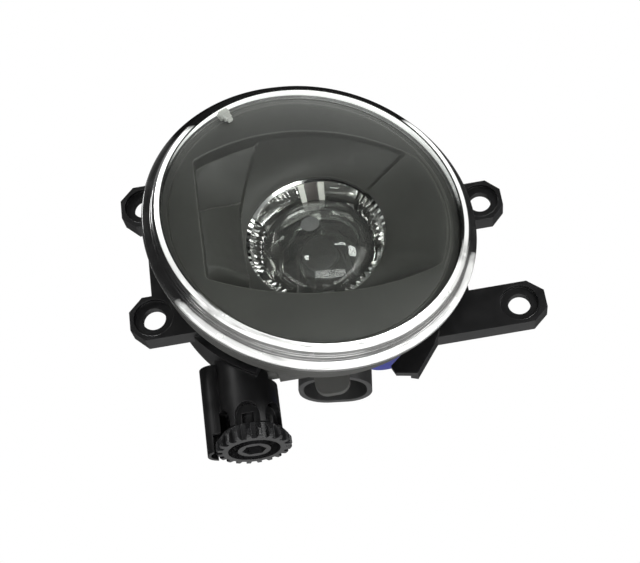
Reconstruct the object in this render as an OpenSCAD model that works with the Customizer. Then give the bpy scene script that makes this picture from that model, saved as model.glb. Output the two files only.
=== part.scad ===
// Round front fog lamp with a swept clear lens, held in a black four-eared carrier.
// The optical axis is -Y, up is +Z and +X is to the right seen from the front.
// The lamp is drawn about its optical axis. at_ears() then puts the origin midway
// between the two left ear holes, on the front face of their web.

/* [Lens] */
// Radius of the lens flange, the widest part of the lens
flange_r = 50; // [49:0.25:51]
// Sweep of the lens towards the wing, in degrees about the vertical
sweep = 14.7; // [13:0.1:16]
// Backward lean of the lens, in degrees
lean = 2.45; // [1.5:0.05:3.5]
// Height of the lens rim in front of its flange
rim_h = 5; // [4.6:0.1:5.6]
// Wall thickness of the lens
lens_t = 2.2; // [1.8:0.1:2.4]

/* [Ears] */
// Distance from the optical axis to the left ear holes
left_hole_x = 50.5; // [50.2:0.1:52]
// Distance from the optical axis to the upper right ear hole
upper_hole_x = 53.4; // [53:0.1:55]
// Distance from the optical axis to the lower right ear hole
lower_hole_x = 58.6; // [57:0.1:62]
// Height of the upper ear holes above the optical axis
upper_hole_z = 17.5; // [17:0.1:19]
// Distance between an upper and a lower ear hole
hole_pitch = 38.5; // [37:0.5:40]
// Depth of the left ear webs behind the middle of the flange
left_web_y = 6; // [5.5:0.1:7]
// Depth of the right ear webs behind the middle of the flange
right_web_y = 38; // [37.5:0.1:39]
// Radius of an ear hole, a clearance hole for an M6 screw
hole_r = 3.5; // [3.3:0.05:3.6]
// Radius of the flats of an ear's octagonal end
ear_r = 7.1; // [7:0.1:7.6]

/* [Aim adjuster] */
// Distance of the tilt axis behind the middle of the flange
tilt_y = 44; // [43:0.5:45]
// Distance from the optical axis to the spindle
spindle_x = 27; // [26.8:0.1:27.4]
// Depth of the spindle behind the middle of the flange
spindle_y = 18; // [17.5:0.5:18.5]
// Number of teeth on the adjuster gear
gear_teeth = 20; // [16:1:24]
// Tip radius of the adjuster gear
gear_r = 11.1; // [10.8:0.1:11.3]

/* [Bulb] */
// Depth of the bulb's reference plane behind the middle of the flange
bulb_y = 54; // [53.5:0.1:54.5]
// Angle of the bulb's connector from straight down when locked
connector_turn = 7; // [5:1:9]

/* [Hidden] */
$fn = 96;

lower_hole_z = upper_hole_z - hole_pitch;
pair_z = (upper_hole_z + lower_hole_z) / 2;
// An ear: a web between a shallow front recess and a deeper rear pocket
web_t = 2.4;
ear_front = 1.2;
ear_back = 4.8;
recess_r = 5.9;
// The circle that the carrier's left plate and skirt leave free for the housing
left_free_r = 45.5;
right_free_r = 38;
// The lug beside the vent stands in front of it, clear of the tilting lamp
lug_free_r = 39.8;
lug_front_y = 22;
skirt_r = 46;
skirt_t = 2.6;
skirt_y = 7.6;
skirt_depth = 16.2;
cheek_w = 18;
pin_r = 2.5;
running = 0.05;
// The adjuster, along the spindle from the gear's lower face up
gear_bottom = -62;
gear_h = 5;
gear_top = gear_bottom + gear_h;
tube_bottom = gear_top + 0.4;
floor_bottom = -53;
floor_top = -50.5;
tube_top = -33;
tube_r = 8.9;
tube_bore = 7.2;
hub_r = 5;
guide_r = 4;
guide_bore = 3;
guide_x = 36.6;
spindle_r = 2.9;
nut_z = -39;
nut_r = 6.8;
arm_pin_r = 2;
// The bulb's bayonet lugs, and how far the bulb turns back to come out
lug_y = 50.2;
lug_t = 1.8;
lug_r = 12;
neck_bore = 10.4;
// Middle of the connector's shroud
plug_y = 65.1;
twist = 45;
// The hollow inside of the lamp
focus_y = 31;
bowl = [[42, -20], [42, 5], [40.5, 11], [37.5, 19], [34.5, 27], [30, 35], [24, 42], [17, 48.5], [17, 51]];
bowl_t = 2.2;
wall_h = 9;
seat_h = 2.4;
opening_r = 21;
opening_y = 11.3;
condenser_r = 18.5;
condenser_y = 20.5;
screw_ring = 29;
// The vent's cap, from its lower face
vent_x = 14.3;
vent_y = 33;
vent_z = -35;
vent_r = 6;
vent_h = 4.4;

// ---------- frames and small shapes ----------

module at_ears() {
    translate([left_hole_x, -left_web_y, -pair_z])
        children();
}

// The swept frame of the lens: local -Y is the lens's own forward direction
module in_lens() {
    rotate([-lean, 0, sweep])
        children();
}

module along_y(y) {
    translate([0, y, 0])
        rotate([-90, 0, 0])
            children();
}

module along_x(x) {
    translate([x, 0, 0])
        rotate([0, 90, 0])
            children();
}

// Extrudes a shape drawn in X and Z backwards from y by depth
module slab(y, depth) {
    translate([0, y + depth, 0])
        rotate([90, 0, 0])
            linear_extrude(depth)
                children();
}

module block(x, y, z) {
    translate([x[0], y[0], z[0]])
        cube([x[1] - x[0], y[1] - y[0], z[1] - z[0]]);
}

module ring(outer, inner, h) {
    difference() {
        cylinder(r = outer, h = h);
        translate([0, 0, -1])
            cylinder(r = inner, h = h + 2);
    }
}

// ---------- carrier ----------

// The recesses and the hole of an ear, cut along Y about [x, z]
module ear_cut(x, web_y, z) {
    translate([x, 0, z]) {
        along_y(web_y - 10)
            cylinder(r = hole_r, h = 20);
        along_y(web_y - 10)
            cylinder(r = recess_r, h = 10);
        along_y(web_y + web_t)
            cylinder(r = recess_r, h = 10);
    }
}

// An arm of a plate with its ear at [x, z], drawn from the ear to x = root
module arm(x, z, root, reach) {
    side = sign(x);
    corner = ear_r * tan(22.5);
    tip = abs(x) + ear_r + reach;
    shoulder = abs(x) + corner + reach / 2;
    polygon([[side * root, z - ear_r], [side * shoulder, z - ear_r], [side * tip, z - corner],
        [side * tip, z + corner], [side * shoulder, z + ear_r], [side * root, z + ear_r]]);
}

module left_plate() {
    y = left_web_y - ear_front;
    t = ear_front + ear_back;
    difference() {
        union() {
            slab(y, t)
                arm(-left_hole_x, upper_hole_z, 34, 0);
            slab(y, t)
                arm(-left_hole_x, lower_hole_z, 33, 0);
            block([-left_hole_x, -40], [y, y + t], [lower_hole_z, upper_hole_z]);
        }
        along_y(-20)
            cylinder(r = left_free_r, h = 60);
        for (z = [upper_hole_z, lower_hole_z])
            ear_cut(-left_hole_x, left_web_y, z);
    }
}

module right_plate() {
    y = right_web_y - ear_front;
    t = ear_front + ear_back;
    difference() {
        union() {
            slab(y, t)
                arm(upper_hole_x, upper_hole_z, 24, 0);
            slab(y, t)
                arm(lower_hole_x, lower_hole_z, 26, 1.2);
            block([34, 44], [y, y + t], [lower_hole_z, upper_hole_z]);
            slab(y, t)
                union() {
                    lug_leg();
                    polygon([[29, -24], [32.5, -26.9], [37, -20], [32, -20]]);
                }
        }
        along_y(0)
            cylinder(r = right_free_r, h = 90);
        // Way for the pivot pin and its head
        translate([0, tilt_y, 0]) {
            along_x(30)
                cylinder(r = pin_r + running, h = 20);
            along_x(42.5)
                cylinder(r = 4.5, h = 10);
        }
        ear_cut(upper_hole_x, right_web_y, upper_hole_z);
        ear_cut(lower_hole_x, right_web_y, lower_hole_z);
    }
}

module lug_leg() {
    polygon([[21.4, -34], [21.4, -37.6], [23.6, -38.3], [30.1, -29.9], [32.5, -26.9], [29, -24]]);
}

// The lug under the right plate reaches forward beside the vent
module lower_lug() {
    difference() {
        union() {
            slab(lug_front_y, 2.2)
                polygon([[20.3, -33], [20.3, -37.7], [15.8, -41.4], [16.9, -43.9], [23.2, -45.1],
                    [29.4, -37.1], [31.7, -33], [30, -27]]);
            slab(lug_front_y, right_web_y - lug_front_y)
                lug_leg();
        }
        along_y(0)
            cylinder(r = lug_free_r, h = 90);
    }
}

// Bridge over the lamp that joins the two plates, parallel to the lens
module bridge() {
    difference() {
        in_lens()
            along_y(17.5)
                rotate([0, 0, -153])
                    rotate_extrude(angle = 133)
                        translate([left_free_r + 0.5, 0])
                            square([4, 5.5]);
        ear_cut(-left_hole_x, left_web_y, upper_hole_z);
    }
}

// Joins the right end of the bridge to the right plate behind it
module bridge_foot() {
    difference() {
        block([36, 45], [28, right_web_y + 1], [14, 24]);
        along_y(0)
            cylinder(r = right_free_r + 1, h = 90);
    }
}

// Curved wall under the lamp, from the left plate to the adjuster's tube
module skirt() {
    difference() {
        along_y(skirt_y)
            rotate([0, 0, 118])
                rotate_extrude(angle = 38)
                    translate([skirt_r, 0])
                        square([skirt_t, skirt_depth]);
        tube_hollow();
    }
}

module cheek(x, y0) {
    difference() {
        union() {
            block([x, x + 4.5], [y0, tilt_y], [-cheek_w / 2, cheek_w / 2]);
            translate([0, tilt_y, 0])
                along_x(x)
                    cylinder(r = cheek_w / 2, h = 4.5);
        }
        translate([0, tilt_y, 0])
            along_x(x - 1)
                cylinder(r = pin_r + running, h = 7);
    }
}

// Lower edge of the tube: arches with pointed pillars between them
module tube_arches() {
    half_w = 3.6;
    for (a = [-150 : 60 : 90])
        translate([-spindle_x, spindle_y, tube_bottom + 2])
            rotate([0, 0, a])
                translate([6.6, 0, 0])
                    rotate([90, 0, 90])
                        linear_extrude(2.7)
                            polygon(concat([[half_w, -5], [half_w, 0]],
                                [for (t = [15 : 15 : 165]) half_w * [cos(t), sin(t) * 1.25]],
                                [[-half_w, 0], [-half_w, -5]]));
}

// What the nut, its key, the lamp's arm and the gear need free
module tube_hollow() {
    translate([-spindle_x, spindle_y, floor_top])
        cylinder(r = tube_bore, h = 40);
    translate([-spindle_x, spindle_y, gear_bottom - 1])
        cylinder(r = gear_r + 0.5, h = tube_bottom - gear_bottom + 1);
    translate([-spindle_x, spindle_y, gear_bottom])
        cylinder(r = tube_bore - 0.4, h = floor_bottom - gear_bottom);
    // Keyway for the nut, and the window for the lamp's arm
    block([-spindle_x - 1.8, -spindle_x + 1.8], [spindle_y - 8.2, spindle_y], [floor_top + 0.8, 0]);
    block([-spindle_x + 3, -spindle_x + 14], [spindle_y - 5.4, spindle_y + 6], [-43, 0]);
}

module adjuster_tube() {
    difference() {
        union() {
            translate([-spindle_x, spindle_y, tube_bottom])
                cylinder(r = tube_r, h = tube_top - tube_bottom);
            translate([-guide_x, spindle_y, gear_bottom])
                cylinder(r = guide_r, h = tube_top - 2 - gear_bottom);
            block([-guide_x, -spindle_x], [spindle_y + 1, spindle_y + tube_r - 1.5], [floor_bottom, tube_top]);
        }
        tube_hollow();
        along_y(-20)
            cylinder(r = left_free_r, h = 60);
        translate([-spindle_x, spindle_y, gear_bottom])
            cylinder(r = hub_r + running, h = 20);
        translate([-guide_x, spindle_y, gear_bottom - 1])
            cylinder(r = guide_bore, h = 20.5);
        tube_arches();
    }
}

module carrier() {
    color([0.07, 0.07, 0.075])
        at_ears()
            union() {
                left_plate();
                right_plate();
                lower_lug();
                bridge();
                bridge_foot();
                cheek(-50, left_web_y);
                cheek(38, right_web_y - ear_front);
                skirt();
                adjuster_tube();
            }
}

// ---------- adjuster ----------

module gear_tooth() {
    half = 360 / gear_teeth / 4;
    root_r = gear_r - 1.9;
    polygon([for (p = [[root_r - 0.4, -half * 1.2], [gear_r - 0.5, -half * 0.75], [gear_r, -half * 0.4],
        [gear_r, half * 0.4], [gear_r - 0.5, half * 0.75], [root_r - 0.4, half * 1.2]])
        p[0] * [cos(p[1]), sin(p[1])]]);
}

module adjuster_gear() {
    color([0.1, 0.1, 0.1])
        at_ears()
            translate([-spindle_x, spindle_y, gear_bottom])
                difference() {
                    union() {
                        intersection() {
                            linear_extrude(gear_h)
                                union() {
                                    circle(r = gear_r - 1.9);
                                    for (i = [0 : gear_teeth - 1])
                                        rotate([0, 0, i * 360 / gear_teeth])
                                            gear_tooth();
                                }
                            // Bevel over the tips of the teeth
                            rotate_extrude()
                                polygon([[0, -1], [gear_r - 0.5, -1], [gear_r - 0.5, 0], [gear_r + 0.1, 0.6],
                                    [gear_r + 0.1, 2.2], [gear_r - 2.1, gear_h + 0.1], [0, gear_h + 0.1]]);
                        }
                        cylinder(r = hub_r, h = floor_top - gear_bottom);
                    }
                    // Ring-shaped recess round the hub, and the hexagonal drive socket
                    translate([0, 0, -1])
                        ring(7.6, 4.8, 4.2);
                    translate([0, 0, -1])
                        cylinder(r = 3.6, h = 6.5, $fn = 6);
                    translate([0, 0, 5.5])
                        cylinder(r = spindle_r, h = 10);
                }
}

module adjuster_spindle() {
    pitch = 0.8;
    turns = 18;
    thread_start = floor_top + 3.2;
    color("silver")
        at_ears()
            translate([-spindle_x, spindle_y, 0])
                union() {
                    translate([0, 0, gear_bottom + 5.5])
                        cylinder(r = spindle_r, h = thread_start - gear_bottom - 5.5);
                    translate([0, 0, floor_top + 0.2])
                        cylinder(r = 6.2, h = 1.6);
                    translate([0, 0, thread_start])
                        rotate_extrude()
                            polygon(concat([[0, turns * pitch + 0.8], [0, 0]],
                                [for (i = [0 : turns - 1], k = [0, 1])
                                    [spindle_r - 0.5 * k, (i + k * 0.5) * pitch]],
                                [[spindle_r - 0.5, turns * pitch + 0.8]]));
                }
}

module travelling_nut() {
    color([0.85, 0.83, 0.78])
        at_ears()
            translate([-spindle_x, spindle_y, nut_z])
                difference() {
                    union() {
                        translate([0, 0, -4.6])
                            cylinder(r = nut_r, h = 9.2);
                        block([-1.5, 1.5], [-7.9, 0], [-4.6, 4.6]);
                    }
                    translate([0, 0, -6])
                        cylinder(r = spindle_r + 0.1, h = 12);
                    block([3.4, 9], [-4.5, 4.5], [-2.35, 2.35]);
                }
}

// ---------- housing ----------

function shrink(pts, t) = [for (p = pts) [p[0] - t, p[1]]];

module revolve(pts) {
    rotate([-90, 0, 0])
        rotate_extrude()
            polygon(concat([[0, pts[len(pts) - 1][1]], [0, pts[0][1]]], pts));
}

// Everything behind a plane parallel to the lens, h behind its flange
module behind(h) {
    in_lens()
        block([-90, 90], [h, 120], [-90, 90]);
}

module bowl_solid(t, h) {
    intersection() {
        revolve(shrink(bowl, t));
        behind(h);
    }
}

module boss(x0, x1) {
    translate([0, tilt_y, 0])
        along_x(x0)
            cylinder(r = 5.2, h = x1 - x0);
}

// Arm that carries the lamp's pin into the travelling nut
module adjuster_arm() {
    block([-17.2, -8], [13.6, 20.6], [-41.2, -34]);
    translate([0, spindle_y, nut_z])
        along_x(-spindle_x + 3.9)
            cylinder(r = arm_pin_r, h = 8);
}

// Tongue under the back of the bowl, in front of the bulb's connector
module guard_tab() {
    slab(49.6, 2)
        union() {
            translate([-8.9, -31])
                square([11.2, 18]);
            translate([-5.4, -35.4])
                square([4.2, 10]);
            for (x = [-4.9, -1.7])
                translate([x, -31.4])
                    circle(r = 4);
        }
}

module housing() {
    color([0.27, 0.27, 0.26])
        at_ears()
            difference() {
                union() {
                    in_lens() {
                        along_y(seat_h)
                            cylinder(r = 47, h = wall_h + 2 - seat_h);
                        along_y(seat_h)
                            cylinder(r = 49.2, h = 2);
                    }
                    bowl_solid(0, wall_h);
                    along_y(48)
                        cylinder(r = 14.5, h = 6);
                    guard_tab();
                    difference() {
                        union() {
                            boss(-45, -12);
                            boss(12, 37.5);
                            adjuster_arm();
                            translate([vent_x, vent_y, vent_z + 3.8])
                                cylinder(r = 3, h = 20);
                        }
                        bowl_solid(bowl_t, wall_h);
                    }
                }
                difference() {
                    bowl_solid(bowl_t, wall_h - 1);
                    along_y(48.8)
                        cylinder(r = 30, h = 10);
                    for (a = [90, 210, 330])
                        rotate([0, a, 0])
                            translate([screw_ring, 0, 0])
                                along_y(16.8)
                                    cylinder(r = 3.2, h = 38);
                }
                in_lens()
                    along_y(-5)
                        cylinder(r = 44.8, h = wall_h + 5);
                // Bore for the bulb's neck, with the groove that its lugs turn in
                revolve([[neck_bore, 40], [neck_bore, lug_y - 0.2], [lug_r + 0.3, lug_y - 0.2],
                    [lug_r + 0.3, lug_y + lug_t + 0.2], [neck_bore, lug_y + lug_t + 0.2], [neck_bore, 60]]);
                // Ways in for the bulb's lugs, where it stands when turned back
                for (a = [0, 120, 240])
                    rotate([0, a + 20 + twist, 0])
                        block([-2.8, 2.8], [lug_y + 0.5, 56], [0, lug_r + 0.6]);
                for (a = [90, 210, 330])
                    rotate([0, a, 0])
                        translate([screw_ring, 0, 0])
                            along_y(14)
                                cylinder(r = 1.45, h = 14);
                translate([vent_x, vent_y, vent_z]) {
                    cylinder(r = 1.6, h = 20);
                    // Seat for the vent's cap, round its post
                    ring(vent_r + 0.05, 3, vent_h + 0.05);
                }
                translate([0, tilt_y, 0])
                    along_x(-50)
                        cylinder(r = pin_r, h = 17);
                translate([0, tilt_y, 0])
                    along_x(26)
                        cylinder(r = pin_r, h = 20);
            }
}

module pivot_pin(x0, head) {
    color("silver")
        at_ears()
            translate([0, tilt_y, 0]) {
                along_x(x0)
                    cylinder(r = pin_r, h = 17.8);
                along_x(head)
                    cylinder(r = 4, h = 1.2);
            }
}

module pivot_pin_left() {
    pivot_pin(-50.8, -51.9);
}

module pivot_pin_right() {
    pivot_pin(26, 43);
}

module vent_cap() {
    color([0.2, 0.27, 0.62])
        at_ears()
            translate([vent_x, vent_y, vent_z])
                difference() {
                    cylinder(r = vent_r, h = vent_h);
                    translate([0, 0, 2])
                        cylinder(r = 3, h = 6);
                    translate([0, 0, 2.6])
                        ring(5.1, 3.7, 3);
                }
}

module vent_membrane() {
    color("white")
        at_ears()
            translate([vent_x, vent_y, vent_z + 2.1])
                cylinder(r = 2.9, h = 0.4);
}

// ---------- lens ----------

// The lens's outer surface as [radius, height], from the flange in to the middle
function crown(t) = concat(
    [for (a = [0 : 15 : 90]) [47.3 - 2.2 + (2.2 - t) * cos(a), rim_h - 2.2 + (2.2 - t) * sin(a)]],
    [for (i = [1 : 8]) let (r = 45.1 * (1 - i / 8)) [r, rim_h - t + 2.2 * (1 - pow(r / 45.1, 2))]]);

module lens_cover() {
    color([0.85, 0.87, 0.88, 0.35])
        at_ears()
            in_lens()
                union() {
                    rotate([90, 0, 0])
                        difference() {
                            rotate_extrude()
                                polygon(concat([[0, -2], [flange_r, -2], [flange_r, 0], [47.3, 0]], crown(0)));
                            rotate_extrude()
                                polygon(concat([[0, -3], [45.1, -3]], crown(lens_t - 0.01)));
                        }
                    // Locating nib on the inside of the rim
                    rotate([0, -31, 0])
                        block([-1.5, 1.5], [-rim_h + lens_t - 0.6, -1.8], [40.8, 45.4]);
                }
}

module lens_seal() {
    color([0.05, 0.05, 0.05])
        at_ears()
            in_lens()
                along_y(2)
                    ring(48.9, 45.8, seat_h - 2);
}

// Edge of the bezel's recess in the lens frame, from the left round over the top
function recess_edge(grow) = concat(
    [for (a = [123.5 : -6.35 : 60]) [60.5 * cos(a), -29.3 + 60.5 * sin(a)] + grow * [cos(a), sin(a)]],
    [for (a = [35 : -12 : -37]) [14.5, -1] + (26 + grow) * [cos(a), 0.86 * sin(a)]],
    [for (a = [-70 : -5 : -113]) [0, 60.9] + (87 + grow) * [cos(a), sin(a)]]);

module bezel() {
    color([0.24, 0.24, 0.23])
        at_ears()
            difference() {
                union() {
                    in_lens() {
                        along_y(-1.5)
                            cylinder(r = 43.4, h = 1.6);
                        along_y(-1.5)
                            ring(43.4, 42, wall_h + 1.5);
                    }
                    hull() {
                        in_lens()
                            slab(-0.4, 0.9)
                                polygon(recess_edge(1));
                        along_y(opening_y)
                            cylinder(r = opening_r + 1.4, h = 0.25);
                    }
                }
                hull() {
                    in_lens()
                        slab(-2, 0.1)
                            polygon(recess_edge(-0.6));
                    along_y(opening_y + 0.4)
                        cylinder(r = opening_r - 0.2, h = 0.1);
                }
            }
}

module bezel_clips() {
    color("silver")
        at_ears()
            in_lens()
                for (a = [30, 150, 270])
                    rotate([0, a, 0])
                        union() {
                            block([43.4, 43.9], [1, 8.6], [-3, 3]);
                            block([43.9, 44.7], [4, 4.8], [-3, 3]);
                        }
}

// ---------- reflector and inner lens ----------

// Radius of the ellipsoidal bowl at depth y, thickened by t
function mirror_r(y, t) = (23.5 + t) * sqrt(1 - pow((y - 20) / (26 + t), 2));

module reflector() {
    depths = [for (i = [0 : 14]) 16 + i * 1.95];
    color("silver")
        at_ears()
            difference() {
                union() {
                    rotate([-90, 0, 0])
                        rotate_extrude()
                            polygon(concat([for (y = depths) [mirror_r(y, 0), y]],
                                [for (i = [14 : -1 : 0]) [mirror_r(depths[i], 1.8), depths[i]]]));
                    along_y(15.2)
                        ring(26.5, 23, 1.6);
                    for (a = [90, 210, 330])
                        rotate([0, a, 0])
                            hull() {
                                translate([screw_ring, 0, 0])
                                    along_y(15.2)
                                        cylinder(r = 3.4, h = 1.6);
                                translate([24.6, 0, 0])
                                    along_y(15.2)
                                        cylinder(r = 3.4, h = 1.6);
                            }
                }
                along_y(10)
                    cylinder(r = 22.8, h = 7);
                for (a = [90, 210, 330])
                    rotate([0, a, 0])
                        translate([screw_ring, 0, 0])
                            along_y(10)
                                cylinder(r = 1.6, h = 10);
            }
}

module reflector_screws() {
    color("silver")
        at_ears()
            for (a = [90, 210, 330])
                rotate([0, a, 0])
                    translate([screw_ring, 0, 0])
                        difference() {
                            union() {
                                along_y(13.2)
                                    cylinder(r = 2.7, h = 2);
                                along_y(15.2)
                                    cylinder(r = 1.3, h = 11);
                            }
                            for (t = [0, 90])
                                rotate([0, t, 0])
                                    block([-1.7, 1.7], [12.5, 14.4], [-0.35, 0.35]);
                        }
}

module condenser_lens() {
    cap = 8;
    ball = (condenser_r * condenser_r + cap * cap) / (2 * cap);
    color([0.9, 0.92, 0.92, 0.35])
        at_ears()
            union() {
                along_y(condenser_y - 2)
                    cylinder(r = condenser_r, h = 2);
                intersection() {
                    translate([0, condenser_y - 2 - cap + ball, 0])
                        rotate([90, 0, 0])
                            sphere(r = ball);
                    along_y(condenser_y - 2 - cap - 1)
                        cylinder(r = condenser_r, h = cap + 1.5);
                }
            }
}

module condenser_holder() {
    color("silver")
        at_ears()
            difference() {
                along_y(opening_y + 0.6)
                    cylinder(r = 22.6, h = condenser_y + 1.4 - opening_y - 0.6);
                along_y(condenser_y - 2.3)
                    cylinder(r = condenser_r + 0.05, h = 2.3);
                along_y(opening_y)
                    cylinder(r = 18.2, h = 20);
                along_y(opening_y)
                    cylinder(r = 20, h = condenser_y - 4 - opening_y);
            }
}

// ---------- bulb ----------

module in_bulb() {
    at_ears()
        rotate([0, connector_turn, 0])
            children();
}

module oval(w, d, r) {
    union() {
        translate([-w / 2 + r, -d / 2])
            square([w - 2 * r, d]);
        translate([-w / 2, -d / 2 + r])
            square([w, d - 2 * r]);
        for (x = [-1, 1], y = [-1, 1])
            translate([x * (w / 2 - r), y * (d / 2 - r)])
                circle(r = r);
    }
}

module bulb_base() {
    mouth_z = -28.2;
    color([0.12, 0.12, 0.12])
        in_bulb()
            difference() {
                union() {
                    along_y(45)
                        cylinder(r = 9.6, h = 12);
                    along_y(bulb_y + 0.2)
                        cylinder(r = 14, h = 3);
                    along_y(bulb_y + 0.2)
                        cylinder(r = 10.6, h = 17.8);
                    for (a = [0, 120, 240])
                        rotate([0, a + 20 - connector_turn, 0])
                            block([-2.4, 2.4], [lug_y, lug_y + lug_t], [0, lug_r]);
                    translate([0, plug_y, mouth_z])
                        linear_extrude(-mouth_z - 4)
                            oval(24.2, 21, 9.4);
                }
                translate([0, plug_y, mouth_z - 1])
                    linear_extrude(16)
                        oval(20.8, 17.6, 7.8);
                along_y(44)
                    ring(11, 8.6, 3.6);
                along_y(44)
                    cylinder(r = 6.3, h = 9);
                terminal_blades();
            }
}

module bulb_seal() {
    color([0.25, 0.08, 0.05])
        in_bulb()
            along_y(48.9)
                rotate_extrude()
                    translate([10, 0])
                        circle(r = 0.38, $fn = 32);
}

module bulb_sleeve() {
    color("silver")
        in_bulb()
            along_y(43)
                ring(6.3, 5.85, 10);
}

module bulb_glass() {
    color([0.9, 0.92, 0.92, 0.35])
        in_bulb()
            difference() {
                union() {
                    along_y(26)
                        cylinder(r = 5.8, h = 26.5);
                    translate([0, 26, 0])
                        rotate([90, 0, 0])
                            intersection() {
                                sphere(r = 5.8);
                                cylinder(r = 6, h = 2.6);
                            }
                }
                along_y(27)
                    cylinder(r = 4.9, h = 19);
            }
}

module bulb_tip_cap() {
    color([0.35, 0.35, 0.35])
        in_bulb()
            along_y(22.8)
                cylinder(r = 4.4, h = 0.6);
}

module bulb_filament() {
    coils = 7;
    color("gray")
        in_bulb()
            for (i = [0 : coils - 1])
                along_y(focus_y - 2.3 + i * 0.72)
                    rotate_extrude()
                        translate([0.9, 0])
                            circle(r = 0.3, $fn = 16);
}

module bulb_leads() {
    color("silver")
        in_bulb()
            for (s = [-1, 1])
                translate([s * 1.9, 0, 0])
                    along_y(focus_y - 3)
                        cylinder(r = 0.35, h = 46 - focus_y + 3, $fn = 24);
}

module terminal_blades() {
    for (s = [-1, 1])
        block([s * 5 - 1.4, s * 5 + 1.4], [plug_y - 0.4, plug_y + 0.4], [-21.6, -10]);
}

module bulb_terminals() {
    color("gold")
        in_bulb()
            terminal_blades();
}

carrier();
adjuster_gear();
adjuster_spindle();
travelling_nut();
housing();
lens_cover();
lens_seal();
bezel();
bezel_clips();
reflector();
reflector_screws();
condenser_lens();
condenser_holder();
pivot_pin_left();
pivot_pin_right();
vent_cap();
vent_membrane();
bulb_base();
bulb_seal();
bulb_sleeve();
bulb_glass();
bulb_tip_cap();
bulb_filament();
bulb_leads();
bulb_terminals();
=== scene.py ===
"""Looks of a round projector fog lamp: clear swept lens, grey bezel, faceted reflector, black carrier."""
from math import asin, cos, pi, radians, sin, sqrt
from random import Random

import bmesh
import bpy
from mathutils import Matrix, Vector

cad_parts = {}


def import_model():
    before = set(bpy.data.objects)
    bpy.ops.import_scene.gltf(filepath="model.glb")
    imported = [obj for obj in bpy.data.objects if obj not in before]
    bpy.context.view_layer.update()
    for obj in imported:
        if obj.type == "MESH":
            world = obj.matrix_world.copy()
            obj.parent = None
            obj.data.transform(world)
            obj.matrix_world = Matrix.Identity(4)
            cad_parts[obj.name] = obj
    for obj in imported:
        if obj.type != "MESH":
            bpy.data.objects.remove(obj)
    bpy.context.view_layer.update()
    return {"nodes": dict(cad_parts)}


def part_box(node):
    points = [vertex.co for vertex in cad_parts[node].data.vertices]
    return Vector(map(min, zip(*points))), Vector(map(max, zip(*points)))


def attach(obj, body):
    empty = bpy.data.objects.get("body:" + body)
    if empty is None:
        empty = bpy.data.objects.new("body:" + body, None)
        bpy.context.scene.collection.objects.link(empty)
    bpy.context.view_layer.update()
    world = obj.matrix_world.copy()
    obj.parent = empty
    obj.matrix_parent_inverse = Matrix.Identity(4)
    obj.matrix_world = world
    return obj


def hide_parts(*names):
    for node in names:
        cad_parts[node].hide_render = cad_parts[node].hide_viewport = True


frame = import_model()

MM = 0.001

# ---------- the lamp's own frames, in millimetres ----------

# The inner lens, in the optical frame: its radius, the height of its dome and where its flat back lies
INNER_LENS_R = 17.2
INNER_LENS_CAP = 7.6
INNER_LENS_BACK = 20.5
INNER_LENS_FLANGE = 2
INNER_BALL_R = (INNER_LENS_R ** 2 + INNER_LENS_CAP ** 2) / (2 * INNER_LENS_CAP)
INNER_TOP = INNER_LENS_BACK - INNER_LENS_FLANGE - INNER_LENS_CAP

# The middle of the lens flange, on the optical axis, from the inner lens
inner_low, inner_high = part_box("condenser_lens")
ORIGIN = Vector(((inner_low.x + inner_high.x) / 2, inner_high.y - INNER_LENS_BACK * MM,
                 (inner_low.z + inner_high.z) / 2))

# The outer lens is swept back to one side and leans back a little
SWEEP = radians(14.7)
LEAN = radians(2.45)
LENS_TURN = Matrix.Rotation(SWEEP, 3, "Z") @ Matrix.Rotation(-LEAN, 3, "X")

# Its flange's radius, its rim's height, its face's radius, wall and dome, and the radius of the seal behind
FLANGE_R = 50
RIM_H = 5
FACE_R = 45.1
FACE_WALL = 2.2
CROWN = 2.2
SEAL_R = 43.3


def at_axis(x, y, z):
    """A point of the optical frame (x right, y back, z up) in metres in the part's frame."""
    return ORIGIN + Vector((x, y, z)) * MM


def round_axis(x, z, y):
    """The same point with its depth last, for rings about the optical axis."""
    return at_axis(x, y, z)


def at_lens(s, t, h):
    """A point of the swept lens frame (s right, t up, h forward) in metres in the part's frame."""
    return ORIGIN + (LENS_TURN @ Vector((s, -h, t))) * MM


def in_lens_frame(x, y, z):
    """The (s, t, h) of a point of the optical frame."""
    p = LENS_TURN.transposed() @ Vector((x, y, z))
    return p.x, p.z, -p.y


def smooth(a, b, value):
    """0 below a, 1 above b and a soft turn between them."""
    u = min(1.0, max(0.0, (value - a) / (b - a)))
    return u * u * (3 - 2 * u)


def mix(a, b, u):
    """a where u is 0, b where u is 1."""
    return a + (b - a) * u


# ---------- shader nodes ----------

def new_material(name):
    """A material with its nodes, its links and its shader."""
    made = bpy.data.materials.new(name)
    made.use_nodes = True
    nodes = made.node_tree.nodes
    return made, nodes, made.node_tree.links, nodes["Principled BSDF"]


def noise(nodes, links, scale, detail=3.0):
    """Noise in the part's own coordinates; scale is in features per metre."""
    place = nodes.new("ShaderNodeTexCoord")
    made = nodes.new("ShaderNodeTexNoise")
    made.inputs["Scale"].default_value = scale
    made.inputs["Detail"].default_value = detail
    links.new(place.outputs["Object"], made.inputs["Vector"])
    return made.outputs["Fac"]


def spread(nodes, links, value, low, high):
    """Maps the middle of a noise to the range from low to high."""
    made = nodes.new("ShaderNodeMapRange")
    made.inputs["From Min"].default_value = 0.3
    made.inputs["From Max"].default_value = 0.7
    made.inputs["To Min"].default_value = low
    made.inputs["To Max"].default_value = high
    links.new(value, made.inputs["Value"])
    return made.outputs["Result"]


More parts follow.
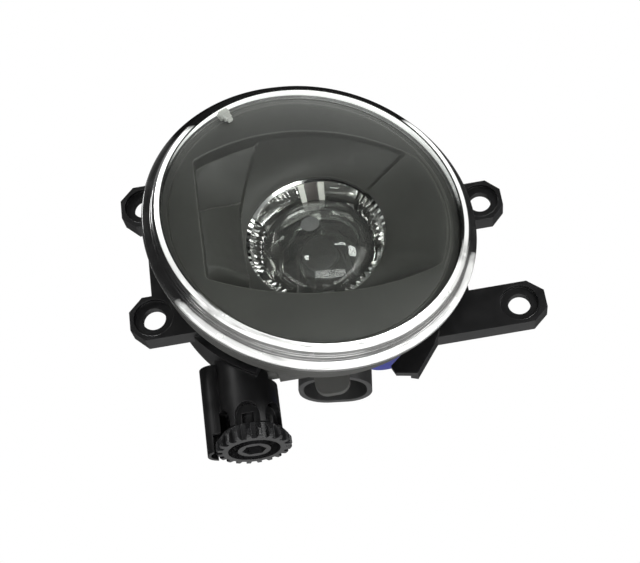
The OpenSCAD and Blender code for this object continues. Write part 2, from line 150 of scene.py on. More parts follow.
def blend_colours(nodes, links, factor, first, second):
    """The first colour where factor is 0 and the second where it is 1."""
    made = nodes.new("ShaderNodeMix")
    made.data_type = "RGBA"
    links.new(factor, made.inputs[0])
    for socket, colour in ((made.inputs[6], first), (made.inputs[7], second)):
        if isinstance(colour, tuple):
            socket.default_value = (*colour, 1)
        else:
            links.new(colour, socket)
    return made.outputs[2]


def band(nodes, links, value, low, high):
    """0 where value is at low, 1 where it is at high, and clamped beyond."""
    made = nodes.new("ShaderNodeMapRange")
    made.inputs["From Min"].default_value = low
    made.inputs["From Max"].default_value = high
    links.new(value, made.inputs["Value"])
    return made.outputs["Result"]


def join(nodes, links, operation, first, *others):
    """One value from several by the same sum, product or comparison; plain numbers are floats."""
    for other in others:
        made = nodes.new("ShaderNodeMath")
        made.operation = operation
        for socket, value in zip(made.inputs, (first, other)):
            if isinstance(value, float):
                socket.default_value = value
            else:
                links.new(value, socket)
        first = made.outputs["Value"]
    return first


def bumped(nodes, links, scale, detail, strength, depth):
    """A bump node for noise of so many features per metre; depth is in metres."""
    made = nodes.new("ShaderNodeBump")
    made.inputs["Strength"].default_value = strength
    made.inputs["Distance"].default_value = depth
    links.new(noise(nodes, links, scale, detail), made.inputs["Height"])
    return made


def blend_shaders(nodes, links, factor, first, second):
    """The material's surface: the first shader where factor is 0 and the second where it is 1."""
    made = nodes.new("ShaderNodeMixShader")
    if isinstance(factor, float):
        made.inputs["Fac"].default_value = factor
    else:
        links.new(factor, made.inputs["Fac"])
    links.new(first.outputs["BSDF"], made.inputs[1])
    links.new(second.outputs["BSDF"], made.inputs[2])
    links.new(made.outputs["Shader"], nodes["Material Output"].inputs["Surface"])


def edge_mask(nodes, links, radius):
    """1 at sharp edges and 0 on flat faces, from how far a rounded normal turns."""
    rounded = nodes.new("ShaderNodeBevel")
    rounded.samples = 4
    rounded.inputs["Radius"].default_value = radius
    flat = nodes.new("ShaderNodeNewGeometry")
    dot = nodes.new("ShaderNodeVectorMath")
    dot.operation = "DOT_PRODUCT"
    links.new(rounded.outputs["Normal"], dot.inputs[0])
    links.new(flat.outputs["Normal"], dot.inputs[1])
    made = nodes.new("ShaderNodeMapRange")
    made.inputs["From Min"].default_value = 0.99
    made.inputs["From Max"].default_value = 0.8
    links.new(dot.outputs["Value"], made.inputs["Value"])
    return made.outputs["Result"], rounded.outputs["Normal"]


# ---------- materials ----------

def moulded(name, colour, rough, grain, depth, edge_highlight=1.6, shine=0.5, edge=0.0004):
    """Moulded surface: grain of a depth in metres, mottled colour and roughness, and a painted highlight
    that makes its edges lighter.
    """
    made, nodes, links, shader = new_material(name)
    mottle = spread(nodes, links, noise(nodes, links, 45, 4), 0, 1)
    dark = tuple(c * 0.86 for c in colour)
    light = tuple(min(1.0, c * 1.14) for c in colour)
    base = blend_colours(nodes, links, mottle, dark, light)
    edges, rounded = edge_mask(nodes, links, edge)
    # Painted highlight: the edges take the base colour brightened by this factor
    edge_highlight_colour = tuple(min(1.0, c * edge_highlight + 0.004) for c in colour)
    links.new(blend_colours(nodes, links, edges, base, edge_highlight_colour), shader.inputs["Base Color"])
    links.new(spread(nodes, links, noise(nodes, links, 160), rough - 0.05, rough + 0.06),
              shader.inputs["Roughness"])
    bump = bumped(nodes, links, grain, 2, 0.35, depth)
    links.new(rounded, bump.inputs["Normal"])
    links.new(bump.outputs["Normal"], shader.inputs["Normal"])
    shader.inputs["Specular IOR Level"].default_value = shine
    return made


def clear(name, tint, rough, ior, haze):
    """Solid clear glass; haze is the share of the light that its surface scatters."""
    made, nodes, links, shader = new_material(name)
    shader.inputs["Base Color"].default_value = (*tint, 1)
    shader.inputs["Transmission Weight"].default_value = 1
    shader.inputs["IOR"].default_value = ior
    links.new(spread(nodes, links, noise(nodes, links, 90), 0, rough), shader.inputs["Roughness"])
    veil = nodes.new("ShaderNodeBsdfDiffuse")
    veil.inputs["Color"].default_value = (0.3, 0.3, 0.285, 1)
    blend_shaders(nodes, links, haze, shader, veil)
    return made


def window(name, tint):
    """Thin clear sheet: what lies behind shows straight through, under a slightly hazed gloss."""
    made, nodes, links, shader = new_material(name)
    nodes.remove(shader)
    through = nodes.new("ShaderNodeBsdfTransparent")
    through.inputs["Color"].default_value = (*tint, 1)
    shine = nodes.new("ShaderNodeBsdfGlossy")
    shine.inputs["Color"].default_value = (1, 1, 1, 1)
    links.new(spread(nodes, links, noise(nodes, links, 60), 0.015, 0.05), shine.inputs["Roughness"])
    fresnel = nodes.new("ShaderNodeFresnel")
    fresnel.inputs["IOR"].default_value = 1.35
    blend_shaders(nodes, links, fresnel.outputs["Fac"], through, shine)
    return made


def polished(name, colour, rough, streak=0.0):
    """Bright metal or metallised plastic with faint smears in its polish."""
    made, nodes, links, shader = new_material(name)
    smear = spread(nodes, links, noise(nodes, links, 120, 4), 0, 1)
    base = blend_colours(nodes, links, smear, tuple(c * 0.9 for c in colour), colour)
    links.new(base, shader.inputs["Base Color"])
    shader.inputs["Metallic"].default_value = 1
    links.new(spread(nodes, links, noise(nodes, links, 300), rough, rough + 0.05),
              shader.inputs["Roughness"])
    if streak:
        links.new(bumped(nodes, links, 900, 1, 0.2, streak).outputs["Normal"], shader.inputs["Normal"])
    return made


def frosted(name, grey, cover):
    """Fine matt texture on clear glass: a share of the light scatters and the rest goes through."""
    made, nodes, links, shader = new_material(name)
    nodes.remove(shader)
    through = nodes.new("ShaderNodeBsdfTransparent")
    matt = nodes.new("ShaderNodeBsdfDiffuse")
    matt.inputs["Color"].default_value = (grey, grey, grey, 1)
    grain = spread(nodes, links, noise(nodes, links, 1500, 2), cover - 0.04, cover + 0.04)
    blend_shaders(nodes, links, grain, through, matt)
    return made


def lens_coordinates(nodes, links):
    """Right, up, behind the flange and distance from the middle, in metres in the swept lens frame."""
    place = nodes.new("ShaderNodeTexCoord")
    turned = nodes.new("ShaderNodeMapping")
    turned.vector_type = "TEXTURE"
    turned.inputs["Location"].default_value = ORIGIN
    turned.inputs["Rotation"].default_value = LENS_TURN.to_euler()
    links.new(place.outputs["Object"], turned.inputs["Vector"])
    split = nodes.new("ShaderNodeSeparateXYZ")
    links.new(turned.outputs["Vector"], split.inputs["Vector"])
    flat = nodes.new("ShaderNodeVectorMath")
    flat.operation = "MULTIPLY"
    flat.inputs[1].default_value = (1, 0, 1)
    links.new(turned.outputs["Vector"], flat.inputs[0])
    length = nodes.new("ShaderNodeVectorMath")
    length.operation = "LENGTH"
    links.new(flat.outputs["Vector"], length.inputs[0])
    return split.outputs["X"], split.outputs["Z"], split.outputs["Y"], length.outputs["Value"]


def ring_lines(nodes, links, across, behind, radius):
    """Fine light and dark lines that run round the rim, and drift a little from side to side."""
    rings = nodes.new("ShaderNodeCombineXYZ")
    links.new(radius, rings.inputs["X"])
    links.new(behind, rings.inputs["Y"])
    links.new(join(nodes, links, "MULTIPLY", across, 0.12), rings.inputs["Z"])
    lines = nodes.new("ShaderNodeTexNoise")
    lines.inputs["Scale"].default_value = 900
    links.new(rings.outputs["Vector"], lines.inputs["Vector"])
    return spread(nodes, links, lines.outputs["Fac"], 0.35, 1.8)


def rim_painted_light():
    """Thick rim, opaque, with painted light and painted shade: fixed bright zones that glow with painted
    light where a clear rim would catch light, and dark zones of painted shade where the black carrier would
    show through.

    Each zone is a mask from 0 to 1. Its two numbers are in millimetres: where it is 0 and where it is 1.
    """
    made, nodes, links, shader = new_material("rim_painted_light")

    def zone(value, none, full):
        return band(nodes, links, value, none * MM, full * MM)

    def both(*masks):
        return join(nodes, links, "MULTIPLY", *masks)

    def either(*masks):
        return join(nodes, links, "MAXIMUM", *masks)

    def outside(mask):
        return join(nodes, links, "SUBTRACT", 1.0, mask)

    def plus(value, other, share):
        return join(nodes, links, "ADD", value, join(nodes, links, "MULTIPLY", other, share))

    across, up, behind, radius = lens_coordinates(nodes, links)
    streak = noise(nodes, links, 75, 4)
    to_left = join(nodes, links, "MINIMUM", across, 0.0)
    to_right = join(nodes, links, "MAXIMUM", across, 0.0)

    # Round the rim: low with a ragged end, high, the very top, and the sides between
    low = zone(plus(plus(up, to_left, -0.4), streak, 0.05), 13, 3)
    high = outside(low)
    top = zone(up, 27, 32)
    sides = both(high, outside(top))

    # Across the rim: its front corner, its flange, the flange's edge and the rear end of that edge
    low_corner = both(zone(behind, -3.9, -4.2), low)
    high_corner = both(zone(behind, -4.5, -4.7), zone(radius, 45.0, 45.2), sides)
    flange = both(zone(radius, 47.9, 48.3), low, outside(zone(behind, 0.5, 0.7)))
    outline = both(zone(behind, 1.35, 1.45), high, 0.5)
    # Painted highlights: zones where a clear rim would catch light, broken up by fine ring lines
    bright = both(either(low_corner, high_corner, flange, outline),
                  ring_lines(nodes, links, across, behind, radius))

    # Over the top the painted light is in the inside wall, behind the clear face
    inside = both(zone(radius, 45.4, 45.2), zone(behind, -1.6, -1.9), zone(behind, -4.9, -4.6),
                  zone(plus(up, to_right, 0.4), 17, 24))
    painted_glow = join(nodes, links, "MINIMUM", either(bright, inside), 1.0)

    # Painted shade: near black, lighter grey in streaks low on the rim, where a clear rim would show the
    # dark carrier
    dark = blend_colours(nodes, links, both(streak, low), (0.006, 0.006, 0.006), (0.16, 0.16, 0.155))
    # Painted highlight: the bright zones are near white and half metallic, and glow with painted light that
    # grows towards the top
    links.new(blend_colours(nodes, links, painted_glow, dark, (0.93, 0.94, 0.92)), shader.inputs["Base Color"])
    links.new(both(painted_glow, 0.45), shader.inputs["Metallic"])
    links.new(blend_colours(nodes, links, painted_glow, (0.0, 0.0, 0.0), (0.9, 0.92, 0.9)),
              shader.inputs["Emission Color"])
    links.new(zone(up, -18, 32), shader.inputs["Emission Strength"])
    links.new(outside(top), shader.inputs["Coat Weight"])
    links.new(both(outside(top), 0.5), shader.inputs["Specular IOR Level"])
    shader.inputs["Coat Roughness"].default_value = 0.02
    links.new(spread(nodes, links, noise(nodes, links, 200), 0.15, 0.3), shader.inputs["Roughness"])
    return made


# The looks of the lamp's materials; the moulded ones have a painted highlight on their edges
BLACK = moulded("carrier_black", (0.003, 0.003, 0.0032), 0.34, 2600, 0.00003,
                edge_highlight=2.0, shine=0.3, edge=0.00025)
GEAR_BLACK = moulded("gear_black", (0.008, 0.008, 0.0085), 0.28, 1800, 0.00003,
                     edge_highlight=3.0, shine=0.4, edge=0.0002)
HOUSING_GREY = moulded("housing_grey", (0.045, 0.045, 0.042), 0.62, 2200, 0.00007, edge_highlight=1.5)
BEZEL_GREY = moulded("bezel_grey", (0.042, 0.042, 0.038), 0.5, 6000, 0.00001, edge_highlight=4.5, edge=0.0006)
BULB_BLACK = moulded("bulb_black", (0.02, 0.02, 0.02), 0.45, 2000, 0.00004, edge_highlight=2.0)
NUT_WHITE = moulded("nut_white", (0.72, 0.7, 0.64), 0.4, 1500, 0.00003, edge_highlight=1.1)
VENT_BLUE = moulded("vent_blue", (0.008, 0.014, 0.2), 0.4, 1200, 0.00003, edge_highlight=1.5)
SEAL_BLACK = moulded("seal_black", (0.015, 0.015, 0.015), 0.7, 1500, 0.00006, edge_highlight=1.3)
RING_RED = moulded("ring_red", (0.16, 0.03, 0.02), 0.5, 1500, 0.00004, edge_highlight=1.2)
MEMBRANE = moulded("membrane_white", (0.75, 0.75, 0.74), 0.85, 5000, 0.00008, edge_highlight=1.0)
TIP_GREY = moulded("tip_grey", (0.02, 0.02, 0.02), 0.5, 1200, 0.00003, edge_highlight=1.3)
STEEL = polished("steel", (0.72, 0.72, 0.73), 0.22, 0.00003)
TIN = polished("tin", (0.78, 0.74, 0.62), 0.25, 0.00003)
TUNGSTEN = polished("tungsten", (0.35, 0.34, 0.33), 0.4)
MIRROR = polished("mirror", (0.93, 0.93, 0.91), 0.03)
# Painted reflections in the holder: near-white bars and a pinkish metal pad
BAR_PAINTED_REFLECTION = moulded("holder_bar_painted_reflection", (0.92, 0.9, 0.83), 0.2, 900, 0.00002, edge_highlight=1.1)
PAD_PAINTED_REFLECTION = polished("holder_pad_painted_reflection", (0.5, 0.46, 0.45), 0.35)
HOLDER = polished("holder_mirror", (0.85, 0.85, 0.84), 0.05)
FACE_CLEAR = window("face_clear", (0.93, 0.94, 0.93))
INNER_CLEAR = clear("inner_clear", (1.0, 1.0, 0.995), 0.01, 1.5, 0.12)
BULB_CLEAR = window("bulb_clear", (0.97, 0.98, 0.98))
RIM_PAINTED_LIGHT = rim_painted_light()
FROST = frosted("inner_frost", 0.24, 0.7)
# Painted light: the clear nib is opaque light grey, standing in for light caught in it
NIB_PAINTED_LIGHT = moulded("nib_painted_light", (0.5, 0.51, 0.48), 0.12, 900, 0.00006, edge_highlight=1.9, edge=0.0003)


def dress(node, material):
    """Gives a CAD node one material."""
    mesh = frame["nodes"][node].data
    mesh.materials.clear()
    mesh.materials.append(material)


# ---------- mesh helpers ----------

def add_object(name, data):
    """A new object in the scene."""
    obj = bpy.data.objects.new(name, data)
    bpy.context.scene.collection.objects.link(obj)
    return obj


def piece(name, points, faces, material, body, crease=30):
    """A mesh piece from points in metres in the part's frame, smooth except at edges over crease degrees."""
    mesh = bpy.data.meshes.new(name)
    mesh.from_pydata([tuple(p) for p in points], [], faces)
    mesh.validate()
    made = bmesh.new()
    made.from_mesh(mesh)
    bmesh.ops.recalc_face_normals(made, faces=made.faces)
    made.to_mesh(mesh)
    made.free()
    for polygon in mesh.polygons:
        polygon.use_smooth = True
    mesh.set_sharp_from_angle(angle=radians(crease))
    mesh.materials.append(material)
    obj = add_object(name, mesh)
    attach(obj, body)
    return obj


def grid_faces(rows, columns, wrap_rows=False, wrap_columns=True, start=0):
    """Quads of a grid of points stored row by row."""
    found = []
    for i in range(rows if wrap_rows else rows - 1):
        for j in range(columns if wrap_columns else columns - 1):
            a, b = i % rows, (i + 1) % rows
            c, d = j % columns, (j + 1) % columns
            found.append(tuple(start + k for k in (a * columns + c, a * columns + d,
                                                   b * columns + d, b * columns + c)))
    return found


def ring(place, radius, height, count):
    """A ring of points round the axis of a frame; place puts a point (across, up, height) of that frame."""
    turns = [2 * pi * j / count for j in range(count)]
    return [place(radius * cos(turn), radius * sin(turn), height) for turn in turns]


def lathe(profile, place, steps=192):
    """A closed ring of revolution, from a closed loop of (radius, height) pairs."""
    points = [p for r, h in profile for p in ring(place, r, h, steps)]
    return points, grid_faces(len(profile), steps, wrap_rows=True)


def disc(profile, place, steps=160):
    """A solid of revolution from one end on the axis round to the other end on the axis."""
    inner = profile[1:-1]
    points = [p for r, h in inner for p in ring(place, r, h, steps)]
    faces = grid_faces(len(inner), steps)
    for end, row in ((profile[0], 0), (profile[-1], len(inner) - 1)):
        points.append(place(0, 0, end[1]))
        hub = len(points) - 1
        faces += [(hub, row * steps + j, row * steps + (j + 1) % steps) for j in range(steps)]
    return points, faces


def arc(centre, radius, start, end, count):
    """Points of an arc as (radius, height) pairs, angles in degrees."""
    turns = [radians(mix(start, end, i / count)) for i in range(count + 1)]
    return [(centre[0] + radius * cos(turn), centre[1] + radius * sin(turn)) for turn in turns]


def smoothed(values, window):
    """Each value of a closed loop averaged with so many neighbours on either side."""
    near = range(-window, window + 1)
    return [sum(values[(j + k) % len(values)] for k in near) / len(near) for j in range(len(values))]


def solid(name, points, faces, thickness, material, body, crease):
    """A sheet given its thickness, in millimetres, behind it."""
    obj = piece(name, points, faces, material, body, crease)
    shell = obj.modifiers.new("thickness", "SOLIDIFY")
    shell.thickness = thickness * MM
    shell.offset = -1
    return obj


# ---------- lens ----------

def crown(r):
    """How far in front of the flange the domed face is."""
    return RIM_H + CROWN * (1 - (r / FACE_R) ** 2)


def lens_cover():
    """Clear lens face in one piece with its stepped rim and flange."""
    steps = 12
    front = [(r, crown(r)) for r in (FACE_R * (1 - i / steps) for i in range(steps, -1, -1))]
    back = [(r, h - FACE_WALL) for r, h in reversed(front)]
    points, faces = disc(front + back, at_lens)
    clear_face = piece("lens_face", points, faces, FACE_CLEAR, "lamp")
    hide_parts("lens_cover")
    profile = ([(FACE_R - 0.05, RIM_H)] + arc((45.3, 3.2), 1.8, 90, 10, 6)
               + arc((47.0, 2.4), 0.5, 80, 0, 3) + arc((47.9, 1.1), 0.6, 180, 270, 4)
               + [(48.7, 0.5)] + arc((49.4, -0.1), 0.6, 80, 0, 4) + [(FLANGE_R, -1.4)]
               + arc((49.6, -1.6), 0.4, 0, -90, 2)
               + [(45.6, -2), (45.1, -1.8), (45.1, 2.4), (44.8, RIM_H - FACE_WALL),
                  (44.6, RIM_H - FACE_WALL + 0.4), (44.7, RIM_H + 0.05)])
    points, faces = lathe(profile, at_lens)
    # The rim is opaque, with fixed zones of painted light and painted shade
    rim = piece("lens_rim", points, faces, RIM_PAINTED_LIGHT, "lamp", 40)
    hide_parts("lens_cover")


def nib():
    """Stepped locating nib inside the rim, at the upper left."""
    angle = radians(121)
    front = 4.2
    along = (cos(angle), sin(angle))
    across = (-sin(angle), cos(angle))
    # Outer and inner radius, half width and height of each step
    tiers = ((45.2, 42.6, 1.6, 2.8), (43.4, 41.2, 1.2, 1.9), (42.0, 40.0, 0.8, 1.3))
    points = []
    faces = []
    for outer, inner, half, height in tiers:
        start = len(points)
        for h in (front, front - height):
            for r, k in ((outer, -half), (outer, half), (inner, half), (inner, -half)):
                points.append(at_lens(r * along[0] + k * across[0], r * along[1] + k * across[1], h))
        faces += [tuple(start + i for i in f) for f in
                  ((0, 1, 2, 3), (4, 5, 6, 7), (0, 1, 5, 4), (1, 2, 6, 5), (2, 3, 7, 6), (3, 0, 4, 7))]
    obj = piece("lens_nib", points, faces, NIB_PAINTED_LIGHT, "lamp")
    soften = obj.modifiers.new("soften", "BEVEL")
    soften.width = 0.2 * MM
    soften.segments = 2


# ---------- bezel ----------

# The round opening for the inner lens, in the optical frame, and its middle in the lens frame
OPENING_R = 21
OPENING_Y = 11.3
OPENING_S, OPENING_T = in_lens_frame(0, OPENING_Y, 0)[:2]

# The outline of the recess in the lens frame: an arc above, a lip below, a bowl right and a wall left
TOP_ARC_R = 60.5
TOP_ARC_DOWN = 29.3
LIP_R = 87
LIP_UP = 60.9
BOWL_MIDDLE = 12
BOWL_HALVES = (28.6, 34)
LEFT_WALL = -33.2
RECESS_REACH = 43


def in_recess(s, t):
    """Whether a point of the bezel's face lies within the recess."""
    below_arc = s ** 2 + (t + TOP_ARC_DOWN) ** 2 < TOP_ARC_R ** 2
    above_lip = s ** 2 + (t - LIP_UP) ** 2 < LIP_R ** 2
    in_bowl = ((s - BOWL_MIDDLE) / BOWL_HALVES[0]) ** 2 + (t / BOWL_HALVES[1]) ** 2 < 1
    return below_arc and above_lip and s > LEFT_WALL and (s < BOWL_MIDDLE or in_bowl)


def recess_radius(angle):
    """Distance from the opening's middle to the edge of the recess, at an angle in the lens frame."""
    steps_per_mm = 20
    for step in range(RECESS_REACH * steps_per_mm):
        r = step / steps_per_mm
        if not in_recess(OPENING_S + r * cos(angle), OPENING_T + r * sin(angle)):
            return r
    return RECESS_REACH


def recess_depth(u, soft_u, angle, s, t):
    """How far down the recess is at (s, t), u of the way in: 0 at its edge and 1 at the opening.

    soft_u is u measured from an edge whose corners are rounded off.
    """
    degrees = (angle * 180 / pi + 180) % 360 - 180
    # Some walls start with a step at the edge, and each then runs in steeply or gently
    edge = smooth(0, 0.05, u)
    top = 0.1 * edge + 0.9 * (1 - (1 - u) ** 1.8)
    bottom = 1 - (1 - u) ** 3.2
    bowl = u ** 1.5
    upper_left = edge * (0.26 + 0.74 * soft_u ** 1.2)
    lower_left = edge * (0.08 + 0.92 * soft_u ** 1.6)
    # The top wall, the bottom wall below it, and the bowl on the right
    depth = mix(bottom, top, smooth(-8, 8, t))
    depth = mix(depth, bowl, smooth(38.5, 35, degrees) * smooth(-50, -22, degrees))
    # The left wall: a lower and an upper panel, and a curved crease where they meet the other walls
    climb = max(0, t - 11)
    crease = -19 + 0.22 * climb + 0.006 * climb ** 2
    left = smooth(crease + 0.3, crease - 0.3, s)
    step = smooth(4.4, 5.0, t - 0.65 * (s + 33))
    low = smooth(-20, -14, t)
    return mix(depth, mix(lower_left, upper_left, step), left * low)


def bezel():
    """Grey mask: flat front ring, and a recess that is deep on the left and a shallow bowl on the right."""
    front_h = 1.5
    columns = 360
    rows = 60
    end_r = OPENING_R + 0.4
    outer = [(SEAL_R, -8.4), (SEAL_R, -0.7), (44.7, -0.5), (44.8, 0.8), (44.4, 1.1), (42.5, 1.1),
             (42.2, front_h), (41.6, front_h + 0.15)]
    points = [p for r, h in outer for p in ring(at_lens, r, h, columns)]
    angles = [2 * pi * j / columns for j in range(columns)]
    reaches = smoothed([recess_radius(angle) for angle in angles], 1)
    rounded = smoothed(reaches, 14)
    # The flat face round the recess, and then the recess row by row to the opening
    lifts = (1.1, 0.62, 0.2)
    for lift in lifts:
        for angle, reach in zip(angles, reaches):
            r = reach + lift
            points.append(at_lens(OPENING_S + r * cos(angle), OPENING_T + r * sin(angle), front_h))
    for i in range(rows + 1):
        u = (i / rows) ** 1.15
        for angle, reach, soft_reach in zip(angles, reaches, rounded):
            edge = Vector((OPENING_S + reach * cos(angle), OPENING_T + reach * sin(angle), front_h - 0.25))
            end = Vector(in_lens_frame(end_r * cos(angle), OPENING_Y, end_r * sin(angle)))
            flat = edge.lerp(end, u)
            soft_u = max(0, soft_reach - reach + u * (reach - end_r)) / (soft_reach - end_r)
            h = mix(edge.z, end.z, recess_depth(u, soft_u, angle, flat.x, flat.y))
            points.append(at_lens(flat.x, flat.y, h))
    faces = grid_faces(len(outer) + len(lifts) + rows + 1, columns)
    obj = solid("bezel_mask", points, faces, 1.2, BEZEL_GREY, "lamp", 22)
    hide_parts("bezel")


# ---------- reflector and inner lens ----------

# The mirror bowl, half of an ellipsoid, and how far behind the flange its rows of facets meet
MIRROR_R = 23.2
MIRROR_FRONT = 20
MIRROR_LENGTH = 26
MIRROR_ROWS = (16.2, 19.5, 23.2, 27.2, 31.4, 35.6, 39.6, 42.6)


def mirror_radius(y):
    """Radius of the mirror bowl, y behind the flange."""
    return MIRROR_R * sqrt(1 - ((y - MIRROR_FRONT) / MIRROR_LENGTH) ** 2)


def reflector():
    """Faceted mirror bowl: rows of flat facets, each tilted a little, out to the mounting rim."""
    chance = Random(11)
    columns = 20
    last = len(MIRROR_ROWS) - 1
    points = []
    for i, y in enumerate(MIRROR_ROWS):
        for j in range(columns):
            angle = 2 * pi * (j + 0.5 * (i % 2)) / columns
            r = mirror_radius(y) - (0.0 if i in (0, last) else chance.uniform(0.0, 0.9))
            points.append(at_axis(r * cos(angle), y + chance.uniform(-0.3, 0.3) * (0 < i < last),
                                  r * sin(angle)))
    faces = grid_faces(len(MIRROR_ROWS), columns)
    rim = len(points)
    for r, y in ((26.3, 16.2), (26.5, 16.9)):
        points += ring(round_axis, r, y, columns)
    faces += [(j, (j + 1) % columns, rim + (j + 1) % columns, rim + j) for j in range(columns)]
    faces += grid_faces(2, columns, start=rim)
    obj = solid("reflector_facets", points, faces, 0.9, MIRROR, "lamp", 4)
    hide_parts("reflector")


def inner_lens():
    """Plano-convex inner lens with a plain flange behind its dome."""
    steps = 16
    turn = asin(INNER_LENS_R / INNER_BALL_R)
    dome = [(INNER_BALL_R * sin(turn * i / steps), INNER_TOP + INNER_BALL_R * (1 - cos(turn * i / steps)))
            for i in range(steps + 1)]
    flange = [(INNER_LENS_R, INNER_LENS_BACK - 0.2), (INNER_LENS_R - 0.2, INNER_LENS_BACK),
              (INNER_LENS_R / 2, INNER_LENS_BACK), (0, INNER_LENS_BACK)]
    points, faces = disc(dome + flange, round_axis)
    obj = piece("inner_lens_dome", points, faces, INNER_CLEAR, "lamp")
    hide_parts("condenser_lens")


# Banks of flutes round the holder: first and last degree, pitch in degrees and depth in millimetres
FLUTE_BANKS = ((150, 205, 5.5, 1.0), (-12, 44, 5.5, 1.0), (212, 256, 6.2, 1.5), (284, 328, 6.2, 1.5))


def flutes(degrees):
    """How far a flute's ridge stands in from the holder's wall, in millimetres, round the holder."""
    for start, end, pitch, depth in FLUTE_BANKS:
        place = (degrees - start) % 360
        if place < end - start:
            return depth * abs(2 * ((place / pitch) % 1) - 1)
    return 0


def holder():
    """Mirror-bright tunnel round the inner lens, with banks of cut flutes at its sides and foot."""
    columns = 480
    # Radius, depth behind the flange, and the share of the flutes' depth at that row
    wall = [(21.7, 12.0, 0), (20.7, 12.8, 0.2), (19.4, 15.0, 1.0),
            (18.5, 17.6, 1.0), (17.8, 19.6, 0.4), (17.3, 20.4, 0)]
    outside = [(17.4, 21.4), (22.4, 21.4), (22.4, 12.2), (22.0, 12.0)]
    points = []
    for r, y, share in wall:
        for j in range(columns):
            angle = 2 * pi * j / columns
            inner = r - share * flutes(360 * j / columns)
            points.append(at_axis(inner * cos(angle), y, inner * sin(angle)))
    for r, y in outside:
        points += ring(round_axis, r, y, columns)
    faces = grid_faces(len(wall) + len(outside), columns, wrap_rows=True)
    obj = piece("inner_lens_holder", points, faces, HOLDER, "lamp", 12)
    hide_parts("condenser_holder")


def painted_reflection_bars():
    """Two polished bars along the head of the holder's wall with a satin pad between them: painted
    reflections of a bright window, the bars near white and the pad pinkish.
    """
    rows = [(20.55, 13.0), (19.35, 15.0), (18.45, 17.6), (18.0, 19.0)]
    steps = 8
    # Middle and half width in degrees round the holder, and thickness
    bars = (("holder_bar_left", 97, 2.8, 0.6, BAR_PAINTED_REFLECTION),
            ("holder_bar_right", 79, 2.8, 0.6, BAR_PAINTED_REFLECTION),
            ("holder_pad_painted_reflection", 88, 5.6, 0.35, PAD_PAINTED_REFLECTION))
    for name, middle, half, thick, material in bars:
        loop = rows + [(r - thick, y) for r, y in reversed(rows)]
        points = []
        for r, y in loop:
            for k in range(steps + 1):
                angle = radians(middle + half * (2 * k / steps - 1))
                points.append(at_axis(r * cos(angle), y, r * sin(angle)))
        faces = grid_faces(len(loop), steps + 1, wrap_rows=True, wrap_columns=False)
        for k in (0, steps):
            faces.append(tuple(i * (steps + 1) + k for i in range(len(loop))))
        piece(name, points, faces, material, "lamp", 20)


def lens_mark():
    """Small frosted round on the dome of the inner lens, above its middle."""
    size = 2.9
    steps = 6
    mark_middle = Vector((-1.2, 11.5, 5.2))
    ball_middle = Vector((0, INNER_TOP + INNER_BALL_R, 0))
    ahead = (mark_middle - ball_middle).normalized()
    side = ahead.cross(Vector((0, 0, 1))).normalized()
    up = side.cross(ahead)

    def on_dome(a, b, h):
        return at_axis(*(ball_middle + side * a + up * b + ahead * h))

    # Its face stands just clear of the dome
    face_r = INNER_BALL_R + 0.06
    outer = [(size * i / steps, sqrt(face_r ** 2 - (size * i / steps) ** 2)) for i in range(steps + 1)]
    low = outer[-1][1] - 0.12
    points, faces = disc(outer + [(size, low), (0, low)], on_dome, 64)
    piece("inner_lens_mark", points, faces, FROST, "lamp")


# ---------- bulb ----------

def filament():
    """Tungsten coil on the bulb's axis."""
    wire_r = 0.16
    coil_r = 0.9
    coil_start = 28.7
    coil_length = 4.5
    turns = 9
    per_turn = 16
    curve = bpy.data.curves.new("filament_coil", "CURVE")
    curve.dimensions = "3D"
    curve.bevel_depth = wire_r * MM
    curve.bevel_resolution = 3
    line = curve.splines.new("POLY")
    line.points.add(turns * per_turn)
    for i in range(turns * per_turn + 1):
        angle = 2 * pi * i / per_turn
        y = coil_start + coil_length * i / (turns * per_turn)
        line.points[i].co = (*at_axis(coil_r * cos(angle), y, coil_r * sin(angle)), 1)
    curve.materials.append(TUNGSTEN)
    obj = add_object("filament_coil", curve)
    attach(obj, "bulb")
    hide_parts("bulb_filament")


# ---------- stage ----------

def camera():
    """The photograph's view: from low in front, looking up, turned a little about its own line of sight."""
    turn = radians(-2.431)
    climb = radians(27.526)
    roll = radians(-8.615)
    distance = 0.41105
    target = at_axis(-1.171, 20, -10.691)
    ahead = Vector((sin(turn) * cos(climb), cos(turn) * cos(climb), sin(climb)))
    level = ahead.cross(Vector((0, 0, 1))).normalized()
    right = cos(roll) * level + sin(roll) * level.cross(ahead)
    up = right.cross(ahead)
    data = bpy.data.cameras.new("camera")
    data.sensor_width = 36
    data.lens = 75.67
    data.clip_start = 0.01
    obj = add_object("camera", data)
    obj.matrix_world = Matrix((right, up, -ahead)).transposed().to_4x4()
    obj.location = target - ahead * distance
    bpy.context.scene.camera = obj


def area_light(name, place, size, power):
    """Soft light aimed at the lamp; place is in metres from the middle of the lens."""
    data = bpy.data.lights.new(name, "AREA")
    data.shape = "RECTANGLE"
    data.size, data.size_y = size
    data.energy = power
    obj = add_object(name, data)
    obj.location = ORIGIN + Vector(place)
    obj.rotation_euler = (-Vector(place)).to_track_quat("-Z", "Y").to_euler()


def floor():
    """Plain pale floor well below the lamp, in metres."""
    size = 6.0
    drop = 0.42
    corners = ((-size, -size), (size, -size), (size, size), (-size, size))
    mesh = bpy.data.meshes.new("floor")
    mesh.from_pydata([(x, y, ORIGIN.z - drop) for x, y in corners], [], [(0, 1, 2, 3)])
    made, nodes, links, shader = new_material("floor_pale")
    shader.inputs["Base Color"].default_value = (0.84, 0.84, 0.84, 1)
    links.new(spread(nodes, links, noise(nodes, links, 30), 0.65, 0.75), shader.inputs["Roughness"])
    mesh.materials.append(made)
    add_object("floor", mesh)


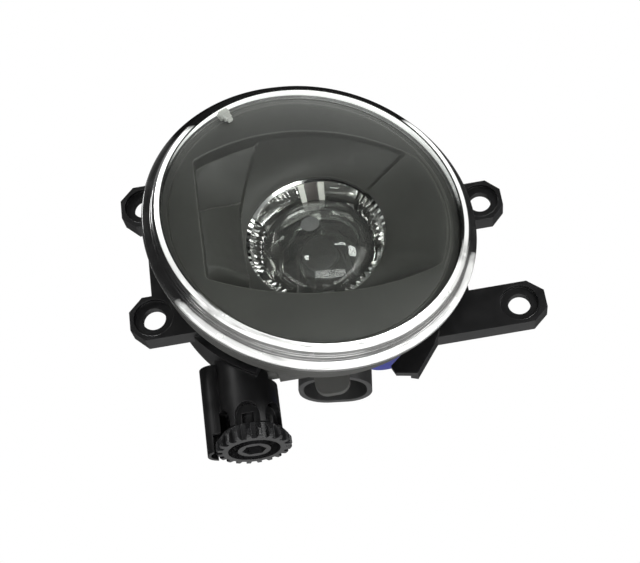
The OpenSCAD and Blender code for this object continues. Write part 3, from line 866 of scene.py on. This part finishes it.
def world():
    """White to the camera; for light and reflections a dark room with a pale floor and ceiling."""
    made = bpy.data.worlds.new("studio")
    bpy.context.scene.world = made
    made.use_nodes = True
    nodes, links = made.node_tree.nodes, made.node_tree.links
    nodes.clear()
    place = nodes.new("ShaderNodeTexCoord")
    split = nodes.new("ShaderNodeSeparateXYZ")
    links.new(place.outputs["Generated"], split.inputs["Vector"])
    level = nodes.new("ShaderNodeMath")
    level.operation = "MULTIPLY_ADD"
    level.inputs[1].default_value = 0.5
    level.inputs[2].default_value = 0.5
    links.new(split.outputs["Z"], level.inputs[0])
    ramp = nodes.new("ShaderNodeValToRGB")
    # Brightness from straight down at 0, by the horizon at 0.5, to straight up at 1
    stops = ((0.0, 1.0), (0.38, 0.75), (0.5, 0.2), (0.6, 0.09), (0.8, 0.09), (0.9, 0.7), (1.0, 1.0))
    while len(ramp.color_ramp.elements) < len(stops):
        ramp.color_ramp.elements.new(0.5)
    for element, (position, grey) in zip(ramp.color_ramp.elements, stops):
        element.position = position
        element.color = (grey, grey, grey, 1)
    links.new(level.outputs["Value"], ramp.inputs["Fac"])
    studio = nodes.new("ShaderNodeBackground")
    studio.inputs["Strength"].default_value = 0.9
    links.new(ramp.outputs["Color"], studio.inputs["Color"])
    seen = nodes.new("ShaderNodeBackground")
    seen.inputs["Color"].default_value = (1, 1, 1, 1)
    ray = nodes.new("ShaderNodeLightPath")
    both = nodes.new("ShaderNodeMixShader")
    links.new(ray.outputs["Is Camera Ray"], both.inputs["Fac"])
    links.new(studio.outputs["Background"], both.inputs[1])
    links.new(seen.outputs["Background"], both.inputs[2])
    output = nodes.new("ShaderNodeOutputWorld")
    links.new(both.outputs["Shader"], output.inputs["Surface"])


def stage():
    """Camera, floor, world and lights; the lights keep out of what the clear face mirrors to the camera."""
    bpy.context.scene.view_settings.view_transform = "Standard"
    camera()
    floor()
    world()
    area_light("ceiling", (-0.06, -0.1, 0.9), (0.55, 0.16), 9)
    area_light("left", (-0.6, -0.45, 0.6), (0.15, 0.25), 4)
    area_light("right", (0.75, -0.62, 0.06), (0.2, 0.25), 3.5)
    area_light("below", (0.1, -0.4, -0.38), (0.5, 0.3), 3.5)
    area_light("low_right", (0.53, -0.81, 0.235), (0.3, 0.06), 1.4)
    area_light("front", (-0.3, -0.8, -0.02), (0.08, 0.1), 0.7)


# ---------- the whole lamp ----------

def dress_cad():
    """Materials for the nodes that keep their CAD meshes."""
    finishes = {
        BLACK: ["carrier"],
        GEAR_BLACK: ["adjuster_gear"],
        HOUSING_GREY: ["housing"],
        STEEL: ["adjuster_spindle", "bezel_clips", "reflector_screws", "pivot_pin_left", "pivot_pin_right",
                "bulb_sleeve", "bulb_leads"],
        TIN: ["bulb_terminals"],
        NUT_WHITE: ["travelling_nut"],
        VENT_BLUE: ["vent_cap"],
        MEMBRANE: ["vent_membrane"],
        SEAL_BLACK: ["lens_seal"],
        RING_RED: ["bulb_seal"],
        BULB_BLACK: ["bulb_base"],
        BULB_CLEAR: ["bulb_glass"],
        TIP_GREY: ["bulb_tip_cap"],
    }
    for material, names in finishes.items():
        for name in names:
            dress(name, material)


stage()
dress_cad()
lens_cover()
nib()
bezel()
reflector()
inner_lens()
holder()
painted_reflection_bars()
lens_mark()
filament()
